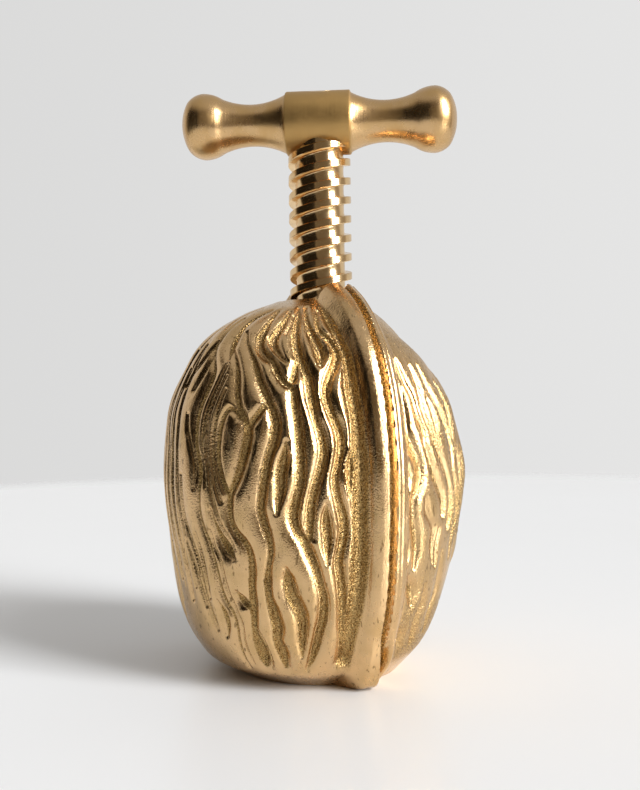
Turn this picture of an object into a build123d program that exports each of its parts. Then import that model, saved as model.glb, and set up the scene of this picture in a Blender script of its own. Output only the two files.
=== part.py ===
from build123d import *
import math
import os

# Walnut-shaped screw nutcracker. Millimetres. +Z runs up the screw, z = 0 is the table,
# the closed seam faces -Y and the nut window faces +Y.

# Cast shell: one ellipse per level, as (level, centre x, centre y, half width x, half width y)
SHELL_SECTIONS = (
    (0.0, -1.0, 2.0, 16.0, 17.5),
    (3.5, -2.6, 3.2, 20.8, 23.2),
    (11.0, -2.2, 4.0, 25.2, 28.6),
    (24.0, -1.2, 4.0, 28.5, 32.0),
    (38.0, -0.7, 4.0, 30.4, 32.8),
    (50.0, -1.2, 4.0, 29.1, 31.4),
    (60.0, -2.1, 3.4, 24.7, 27.2),
    (67.0, -3.4, 2.0, 18.4, 20.6),
    (71.0, -2.6, 0.8, 12.8, 14.4),
    (73.3, -0.6, 0.0, 8.4, 9.0),
)

# Nut chamber inside the shell, in the same terms
CHAMBER_SECTIONS = (
    (8.0, -0.8, 2.6, 13.0, 14.0),
    (12.0, -1.0, 3.2, 20.0, 21.5),
    (24.0, -1.1, 3.6, 24.4, 26.6),
    (38.0, -1.0, 3.8, 26.0, 28.0),
    (50.0, -1.2, 3.4, 24.0, 26.0),
    (58.0, -1.0, 1.8, 18.0, 19.6),
    (62.0, 0.0, 0.0, 13.0, 13.6),
)

# Seam ridge: two lips with a fine groove between them, ending in a foot at the front
SEAM_RAISE = 1.5
SEAM_HALF_WIDTH = 3.4
SEAM_GROOVE_WIDTH = 1.1
SEAM_GROOVE_DEPTH = 1.3
SEAM_GROOVE_BOTTOM_Z = 5.0
SEAM_TOP_Z = 76.2
SEAM_TOP_REACH = 8.0
SEAM_FOOT_REACH = 22.5

# Nut window in the back of the shell
WINDOW_HALF_WIDTH = 19.0
WINDOW_HALF_HEIGHT = 22.0
WINDOW_CENTRE_Z = 32.0
WINDOW_OUTER_Y = 45.0
WINDOW_INNER_Y = 8.0

# Threaded bush, pushed up into the crown from inside until its flange meets the roof
BUSH_RADIUS = 8.0
BUSH_FIT = 0.03
BUSH_FLANGE_RADIUS = 10.5
BUSH_FLANGE_THICKNESS = 1.6
BUSH_TOP_Z = 71.5
CROWN_HOLE_RADIUS = 6.75
CHAMBER_ROOF_Z = CHAMBER_SECTIONS[-1][0]

# Two-start square thread, right hand
THREAD_RADIUS = 6.35
CORE_RADIUS = 4.9
THREAD_PITCH = 3.85
THREAD_STARTS = 2
THREAD_LEAD = THREAD_PITCH * THREAD_STARTS
CREST_WIDTH = 1.5
THREAD_CLEARANCE = 0.3
THREAD_ROOTING = 0.3
CREST_ANGLE = -24.0
CREST_Z = 101.9

# Screw spindle: neck in the handle, thread, and a plain pivot for the pad
THREAD_TOP_Z = 103.0
THREAD_BOTTOM_Z = 51.0
NECK_RADIUS = 5.5
NECK_TOP_Z = 109.0
PIVOT_RADIUS = 3.4
PIVOT_BOTTOM_Z = 46.6
SPINDLE_CHAMFER = 0.4

# Tee handle, one turned bar, profile points as (distance from the middle, radius)
HANDLE_Z = 109.9
HANDLE_TURN = -28.4
BARREL_HALF_LENGTH = 6.55
BARREL_RADIUS = 6.42
BARREL_CHAMFER = 0.3
ARM_ROOT = (6.55, 5.95)
ARM_WAIST = (13.6, 4.18)
KNOB_START = (20.0, 5.65)
KNOB_PEAK = (23.4, 6.62)
KNOB_END = (26.6, 5.15)
CAP_TIP = (28.0, 0.0)
HANDLE_FIT = 0.03

# Countersunk screw that holds the handle down on the spindle
HANDLE_SCREW_RADIUS = 2.0
HANDLE_SCREW_HEAD_RADIUS = 3.5
HANDLE_SCREW_HEAD_HEIGHT = 1.5
HANDLE_SCREW_BOTTOM_Z = 98.0
HANDLE_SCREW_TOP_Z = 115.2

# Pan-head screw that keeps the pad on its pivot
PAD_SCREW_RADIUS = 1.5
PAD_SCREW_HEAD_RADIUS = 4.4
PAD_SCREW_HEAD_HEIGHT = 1.0
PAD_SCREW_TOP_Z = 56.0
SLOT_WIDTH = 0.9
SLOT_DEPTH = 0.6
SCREW_FIT = 0.05

# Pressure pad, free to turn on the spindle's pivot
PAD_RADIUS = 8.5
PAD_TOP_Z = 50.6
PAD_BOTTOM_Z = 44.0
PAD_RECESS_RADIUS = 5.0
PAD_RECESS_TOP_Z = 46.95
PIVOT_FIT = 0.08
PAD_EDGE_RADIUS = 0.8
PAD_RING_RADIUS = 6.6
PAD_RING_WIDTH = 0.8
PAD_RING_DEPTH = 0.5

# Small overlap that carries a cut clear through the face it opens
CUT_MARGIN = 1.0

os.makedirs("parts", exist_ok=True)


def seam_point(section, side):
    """Point (y, z) on the crest of the seam at one shell section, on the -Y or +Y side."""
    z, _, centre_y, _, half_y = section
    return (centre_y + side * (half_y + SEAM_RAISE), z)


def seam_outline():
    """Outline of the whole shell through its seam plane, raised by the ridge's height."""
    with BuildSketch(Plane.YZ) as outline:
        with BuildLine():
            front = Spline(
                (-SEAM_FOOT_REACH, 0),
                *[seam_point(section, -1) for section in SHELL_SECTIONS[2:-2]],
                (-SEAM_TOP_REACH, SEAM_TOP_Z),
            )
            back = Spline(
                seam_point(SHELL_SECTIONS[0], 1),
                *[seam_point(section, 1) for section in SHELL_SECTIONS[1:-2]],
                (SEAM_TOP_REACH, SEAM_TOP_Z),
            )
            Line(front @ 1, back @ 1)
            Line(front @ 0, back @ 0)
        make_face()
    return outline.sketch


def on_side(point, side):
    """A point of the handle's profile, on its left (side -1) or right (side 1) half."""
    return (side * point[0], point[1])


def thread_ribs(bottom, top, inner, outer, width):
    """Both helical ribs of the thread between two heights, in phase with the rest position."""
    first_turn = CREST_ANGLE + 360 * (bottom - CREST_Z) / THREAD_LEAD
    helix_angle = math.atan(THREAD_LEAD / (math.pi * (inner + outer)))
    path = Helix(pitch=THREAD_LEAD, height=top - bottom, radius=(inner + outer) / 2)
    with BuildPart() as rib:
        with BuildSketch(Plane(origin=path @ 0, x_dir=(1, 0, 0), z_dir=path % 0)):
            Rectangle(outer - inner, width * math.cos(helix_angle))
        sweep(path=path, is_frenet=True)
    turns = [first_turn + 360 * start / THREAD_STARTS for start in range(THREAD_STARTS)]
    return [rib.part.rotate(Axis.Z, turn).translate((0, 0, bottom)) for turn in turns]


# The casting: shell, seam ridge, nut chamber, window, and the crown bored for the bush.
with BuildPart() as walnut_body:
    for z, centre_x, centre_y, half_x, half_y in SHELL_SECTIONS:
        with BuildSketch(Plane.XY.offset(z)):
            with Locations((centre_x, centre_y)):
                Ellipse(half_x, half_y)
    loft()
    extrude(seam_outline(), amount=SEAM_HALF_WIDTH, both=True)
    with BuildSketch(Plane.YZ):
        add(seam_outline())
        offset(amount=-SEAM_GROOVE_DEPTH, mode=Mode.SUBTRACT)
        Rectangle(
            4 * SEAM_FOOT_REACH,
            2 * SEAM_GROOVE_BOTTOM_Z,
            mode=Mode.SUBTRACT,
        )
    extrude(amount=SEAM_GROOVE_WIDTH / 2, both=True, mode=Mode.SUBTRACT)
    for z, centre_x, centre_y, half_x, half_y in CHAMBER_SECTIONS:
        with BuildSketch(Plane.XY.offset(z)):
            with Locations((centre_x, centre_y)):
                Ellipse(half_x, half_y)
    loft(mode=Mode.SUBTRACT)
    with BuildSketch(Plane.XZ.offset(-WINDOW_OUTER_Y)):
        with Locations((0, WINDOW_CENTRE_Z)):
            Ellipse(WINDOW_HALF_WIDTH, WINDOW_HALF_HEIGHT)
    extrude(amount=WINDOW_OUTER_Y - WINDOW_INNER_Y, mode=Mode.SUBTRACT)
    with BuildSketch(Plane.XY.offset(CHAMBER_ROOF_Z - CUT_MARGIN)):
        Circle(BUSH_RADIUS)
    extrude(amount=BUSH_TOP_Z - CHAMBER_ROOF_Z + CUT_MARGIN, mode=Mode.SUBTRACT)
    with BuildSketch(Plane.XY.offset(BUSH_TOP_Z)):
        Circle(CROWN_HOLE_RADIUS)
    extrude(amount=SEAM_TOP_Z - BUSH_TOP_Z + CUT_MARGIN, mode=Mode.SUBTRACT)
walnut_body.part.label = "walnut_body"
export_step(walnut_body.part, "parts/walnut_body.step")

# Threaded bush: its flange bears on the chamber roof and takes the cracking load.
bush_bottom_z = CHAMBER_ROOF_Z - BUSH_FLANGE_THICKNESS
tap_bottom_z = bush_bottom_z - THREAD_PITCH
tap_top_z = BUSH_TOP_Z + THREAD_PITCH
tap_ribs = thread_ribs(
    tap_bottom_z,
    tap_top_z,
    CORE_RADIUS - THREAD_ROOTING,
    THREAD_RADIUS + THREAD_CLEARANCE,
    CREST_WIDTH + 2 * THREAD_CLEARANCE,
)
with BuildPart() as bush_tap:
    with BuildSketch(Plane.XY.offset(tap_bottom_z)):
        Circle(CORE_RADIUS + THREAD_CLEARANCE)
    extrude(amount=tap_top_z - tap_bottom_z)
    add(tap_ribs)
with BuildPart() as threaded_bush:
    with BuildSketch(Plane.XY.offset(bush_bottom_z)):
        Circle(BUSH_FLANGE_RADIUS)
    extrude(amount=BUSH_FLANGE_THICKNESS)
    with BuildSketch(Plane.XY.offset(CHAMBER_ROOF_Z)):
        Circle(BUSH_RADIUS - BUSH_FIT)
    extrude(amount=BUSH_TOP_Z - CHAMBER_ROOF_Z)
    add(bush_tap.part, mode=Mode.SUBTRACT)
threaded_bush.part.label = "threaded_bush"
export_step(threaded_bush.part, "parts/threaded_bush.step")

# Screw spindle: one turned piece, with tapped ends for the two small screws.
spindle_ribs = thread_ribs(
    THREAD_BOTTOM_Z + CREST_WIDTH,
    THREAD_TOP_Z - CREST_WIDTH,
    CORE_RADIUS - THREAD_ROOTING,
    THREAD_RADIUS,
    CREST_WIDTH,
)
with BuildPart() as screw_spindle:
    with BuildSketch(Plane.XY.offset(THREAD_BOTTOM_Z)):
        Circle(CORE_RADIUS)
    extrude(amount=THREAD_TOP_Z - THREAD_BOTTOM_Z)
    add(spindle_ribs)
    with BuildSketch(Plane.XY.offset(THREAD_TOP_Z)):
        Circle(NECK_RADIUS)
    extrude(amount=NECK_TOP_Z - THREAD_TOP_Z)
    chamfer(faces().sort_by(Axis.Z)[-1].edges(), SPINDLE_CHAMFER)
    with BuildSketch(Plane.XY.offset(PIVOT_BOTTOM_Z)):
        Circle(PIVOT_RADIUS)
    extrude(amount=THREAD_BOTTOM_Z - PIVOT_BOTTOM_Z)
    with BuildSketch(Plane.XY.offset(HANDLE_SCREW_BOTTOM_Z)):
        Circle(HANDLE_SCREW_RADIUS)
    extrude(amount=NECK_TOP_Z - HANDLE_SCREW_BOTTOM_Z, mode=Mode.SUBTRACT)
    with BuildSketch(Plane.XY.offset(PIVOT_BOTTOM_Z)):
        Circle(PAD_SCREW_RADIUS)
    extrude(amount=PAD_SCREW_TOP_Z - PIVOT_BOTTOM_Z, mode=Mode.SUBTRACT)
screw_spindle.part.label = "screw_spindle"
export_step(screw_spindle.part, "parts/screw_spindle.step")

# Tee handle: a turned bar, bored across its barrel for the spindle's neck and the screw.
handle_direction = Vector(1, 0, 0).rotate(Axis.Z, HANDLE_TURN)
handle_frame = Plane(
    origin=(0, 0, HANDLE_Z),
    x_dir=handle_direction,
    z_dir=handle_direction.cross(Vector(0, 0, 1)),
)
cap_depth = CAP_TIP[0] - KNOB_END[0]
cap_radius = (cap_depth**2 + KNOB_END[1] ** 2) / (2 * cap_depth)
with BuildPart() as tee_handle:
    with BuildSketch(handle_frame):
        with BuildLine():
            Polyline(
                (-BARREL_HALF_LENGTH, BARREL_RADIUS - BARREL_CHAMFER),
                (-BARREL_HALF_LENGTH + BARREL_CHAMFER, BARREL_RADIUS),
                (BARREL_HALF_LENGTH - BARREL_CHAMFER, BARREL_RADIUS),
                (BARREL_HALF_LENGTH, BARREL_RADIUS - BARREL_CHAMFER),
            )
            for side in (-1, 1):
                arm_root = on_side(ARM_ROOT, side)
                knob_start = on_side(KNOB_START, side)
                knob_end = on_side(KNOB_END, side)
                Line((side * BARREL_HALF_LENGTH, BARREL_RADIUS - BARREL_CHAMFER), arm_root)
                ThreePointArc(arm_root, on_side(ARM_WAIST, side), knob_start)
                ThreePointArc(knob_start, on_side(KNOB_PEAK, side), knob_end)
                RadiusArc(knob_end, on_side(CAP_TIP, side), side * cap_radius)
            Line(on_side(CAP_TIP, 1), on_side(CAP_TIP, -1))
        make_face()
    revolve(axis=Axis((0, 0, HANDLE_Z), handle_direction))
    with BuildSketch(Plane.XY.offset(HANDLE_Z - BARREL_RADIUS - CUT_MARGIN)):
        Circle(NECK_RADIUS + HANDLE_FIT)
    extrude(
        amount=NECK_TOP_Z + HANDLE_FIT - HANDLE_Z + BARREL_RADIUS + CUT_MARGIN,
        mode=Mode.SUBTRACT,
    )
    with Locations((0, 0, HANDLE_SCREW_TOP_Z)):
        CounterSinkHole(
            HANDLE_SCREW_RADIUS + SCREW_FIT,
            HANDLE_SCREW_HEAD_RADIUS + SCREW_FIT,
            depth=HANDLE_Z,
            counter_sink_angle=90,
        )
tee_handle.part.label = "tee_handle"
export_step(tee_handle.part, "parts/tee_handle.step")

# Handle screw: slotted countersunk head on a plain shank.
with BuildPart() as handle_screw:
    with BuildSketch(Plane.XZ):
        with BuildLine():
            Polyline(
                (0, HANDLE_SCREW_BOTTOM_Z),
                (HANDLE_SCREW_RADIUS - SCREW_FIT, HANDLE_SCREW_BOTTOM_Z),
                (HANDLE_SCREW_RADIUS - SCREW_FIT, HANDLE_SCREW_TOP_Z - HANDLE_SCREW_HEAD_HEIGHT),
                (HANDLE_SCREW_HEAD_RADIUS - SCREW_FIT, HANDLE_SCREW_TOP_Z),
                (0, HANDLE_SCREW_TOP_Z),
                close=True,
            )
        make_face()
    revolve(axis=Axis.Z)
    with BuildSketch(Plane.XY.offset(HANDLE_SCREW_TOP_Z - SLOT_DEPTH)):
        Rectangle(2 * HANDLE_SCREW_HEAD_RADIUS, SLOT_WIDTH, rotation=HANDLE_TURN)
    extrude(amount=SLOT_DEPTH, mode=Mode.SUBTRACT)
handle_screw.part.label = "handle_screw"
export_step(handle_screw.part, "parts/handle_screw.step")

# Pressure pad: turned disc with a recess for the screw head and a gripping ring below.
with BuildPart() as pressure_pad:
    with BuildSketch(Plane.XY.offset(PAD_BOTTOM_Z)):
        Circle(PAD_RADIUS)
    extrude(amount=PAD_TOP_Z - PAD_BOTTOM_Z)
    fillet(edges().filter_by(GeomType.CIRCLE), PAD_EDGE_RADIUS)
    with BuildSketch(Plane.XY.offset(PAD_BOTTOM_Z)):
        Circle(PAD_RECESS_RADIUS)
    extrude(amount=PAD_RECESS_TOP_Z - PAD_BOTTOM_Z, mode=Mode.SUBTRACT)
    with BuildSketch(Plane.XY.offset(PAD_BOTTOM_Z)):
        Circle(PAD_RING_RADIUS)
        Circle(PAD_RING_RADIUS - PAD_RING_WIDTH, mode=Mode.SUBTRACT)
    extrude(amount=PAD_RING_DEPTH, mode=Mode.SUBTRACT)
    with BuildSketch(Plane.XY.offset(PAD_BOTTOM_Z)):
        Circle(PIVOT_RADIUS + PIVOT_FIT)
    extrude(amount=PAD_TOP_Z - PAD_BOTTOM_Z, mode=Mode.SUBTRACT)
pressure_pad.part.label = "pressure_pad"
export_step(pressure_pad.part, "parts/pressure_pad.step")

# Pad screw: slotted pan head under the pivot, shank up inside the spindle.
with BuildPart() as pad_screw:
    with BuildSketch(Plane.XY.offset(PIVOT_BOTTOM_Z)):
        Circle(PAD_SCREW_RADIUS - SCREW_FIT)
    extrude(amount=PAD_SCREW_TOP_Z - PIVOT_BOTTOM_Z)
    with BuildSketch(Plane.XY.offset(PIVOT_BOTTOM_Z - PAD_SCREW_HEAD_HEIGHT)):
        Circle(PAD_SCREW_HEAD_RADIUS)
    extrude(amount=PAD_SCREW_HEAD_HEIGHT)
    chamfer(edges().sort_by(Axis.Z)[0], SLOT_DEPTH / 2)
    with BuildSketch(Plane.XY.offset(PIVOT_BOTTOM_Z - PAD_SCREW_HEAD_HEIGHT)):
        Rectangle(2 * PAD_SCREW_HEAD_RADIUS, SLOT_WIDTH)
    extrude(amount=SLOT_DEPTH, mode=Mode.SUBTRACT)
pad_screw.part.label = "pad_screw"
export_step(pad_screw.part, "parts/pad_screw.step")
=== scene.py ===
import math

import bmesh
import bpy
import numpy as np
from mathutils import Matrix, Vector


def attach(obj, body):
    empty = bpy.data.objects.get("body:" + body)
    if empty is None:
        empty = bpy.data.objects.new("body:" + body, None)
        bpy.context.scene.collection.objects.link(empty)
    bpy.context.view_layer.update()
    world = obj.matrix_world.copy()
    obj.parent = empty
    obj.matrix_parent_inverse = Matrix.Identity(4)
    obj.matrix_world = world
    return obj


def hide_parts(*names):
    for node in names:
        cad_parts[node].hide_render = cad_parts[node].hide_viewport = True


# Walnut-shaped screw nutcracker in brass. Shapes are worked out in millimetres and written to
# Blender in metres. +Z runs up the screw, the closed seam faces -Y and the nut window faces +Y.
# Places on the shell are given as (azimuth, height): the azimuth is in degrees about the section's
# centre, 0 at the closed seam and growing towards +X, and the height is in millimetres.

MM = 0.001
SEED = 7

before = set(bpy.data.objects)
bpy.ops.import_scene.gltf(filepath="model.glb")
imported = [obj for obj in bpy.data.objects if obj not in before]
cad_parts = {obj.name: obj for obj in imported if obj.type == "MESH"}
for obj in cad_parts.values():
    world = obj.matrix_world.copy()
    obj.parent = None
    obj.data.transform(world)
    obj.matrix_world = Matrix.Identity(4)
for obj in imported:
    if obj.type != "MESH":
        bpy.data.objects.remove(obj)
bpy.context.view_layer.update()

# ------------------------------------------------------------------ sizes, from the CAD model

# Shell sections: height, centre x, centre y, half width x, half width y
# Centre x and half width x partly follow a fit to the photograph's outline
SHELL_SECTIONS = (
    (0.0, -1.0, 2.0, 16.0, 17.5),
    (3.5, -2.6, 3.2, 20.8, 23.2),
    (11.0, -2.2, 4.0, 25.2, 28.6),
    (24.0, -1.2, 4.0, 28.5, 32.0),
    (38.0, -0.7, 4.0, 30.4, 32.8),
    (50.0, -1.2, 4.0, 29.1, 31.4),
    (60.0, -2.1, 3.4, 24.7, 27.2),
    (67.0, -3.4, 2.0, 18.4, 20.6),
    (71.0, -2.6, 0.8, 12.8, 14.4),
    (73.3, -0.6, 0.0, 8.4, 9.0),
)
CROWN_CAP = (73.6, 5.0)

# Nut chamber sections, in the same terms
CHAMBER_SECTIONS = (
    (8.0, -0.8, 2.6, 13.0, 14.0),
    (12.0, -1.0, 3.2, 20.0, 21.5),
    (24.0, -1.1, 3.6, 24.4, 26.6),
    (38.0, -1.0, 3.8, 26.0, 28.0),
    (50.0, -1.2, 3.4, 24.0, 26.0),
    (58.0, -1.0, 1.8, 18.0, 19.6),
    (62.0, 0.0, 0.0, 13.0, 13.6),
)
WINDOW_HALF_WIDTH = 19.0
WINDOW_HALF_HEIGHT = 22.0
WINDOW_CENTRE_Z = 32.0
BUSH_RADIUS = 8.0
BUSH_TOP_Z = 71.5
CROWN_HOLE_RADIUS = 6.75

# Two-start right-hand square thread and the spindle it runs on
THREAD_RADIUS = 6.35
CORE_RADIUS = 4.9
THREAD_PITCH = 3.85
THREAD_LEAD = 2 * THREAD_PITCH
CREST_WIDTH = 1.5
CREST_ANGLE = -24.0
CREST_Z = 101.9
THREAD_TOP_Z = 104.9
THREAD_BOTTOM_Z = 51.0
NECK_RADIUS = 4.9
HANDLE_BORE_FIT = 0.03
NECK_TOP_Z = 109.0
PIVOT_RADIUS = 3.4
PIVOT_BOTTOM_Z = 46.6

# Tee handle
HANDLE_Z = 109.9
HANDLE_TURN = -28.4
BARREL_HALF_LENGTH = 6.55
BARREL_RADIUS = 6.42
HANDLE_SCREW_RADIUS = 2.05
HANDLE_SCREW_HEAD_RADIUS = 3.55
HANDLE_SCREW_TOP_Z = 115.2
HANDLE_SCREW_BOTTOM_Z = 98.0
HANDLE_SCREW_GAP = 0.06
SLOT_HALF_WIDTH = 0.45
SLOT_DEPTH = 0.7

# Mesh resolution of the shell
SHELL_COLUMNS = 900
SHELL_ROWS = 560
# Rings that close the foot, as shares of its outline, and how far its middle is hollowed
BASE_RING_SHARES = (0.12, 0.45, 0.75, 0.93)
BASE_HOLLOW = 0.25

# ------------------------------------------------------------------ relief of the shell

# Height of the keel over the cheeks, by height on the shell
KEEL_HEIGHT = ((0.0, 1.4), (20.0, 1.4), (45.0, 1.7), (60.0, 2.2), (68.0, 2.7), (73.3, 3.2))
# Section of the keel as (x, share of its height)
KEEL_SECTION = (
    (-6.0, 0.0), (-5.0, 0.08), (-3.8, 0.42), (-2.8, 0.8), (-1.8, 0.96), (-0.6, 1.0), (0.8, 1.0),
    (2.0, 0.9), (3.0, 0.62), (4.0, 0.25), (5.0, 0.0),
)
# Front of the keel's foot: height, y
KEEL_FOOT = (
    (0.0, -19.4), (0.5, -21.0), (1.3, -22.2), (2.6, -23.0), (6.0, -24.4), (12.0, -26.2), (16.0, -27.6),
)
SEAM_GROOVE_HALF_WIDTH = 0.55
SEAM_GROOVE_DEPTH = 1.5
LEFT_LIP_WIDTH = 3.4
RIGHT_LIP_WIDTH = 3.6

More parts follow.
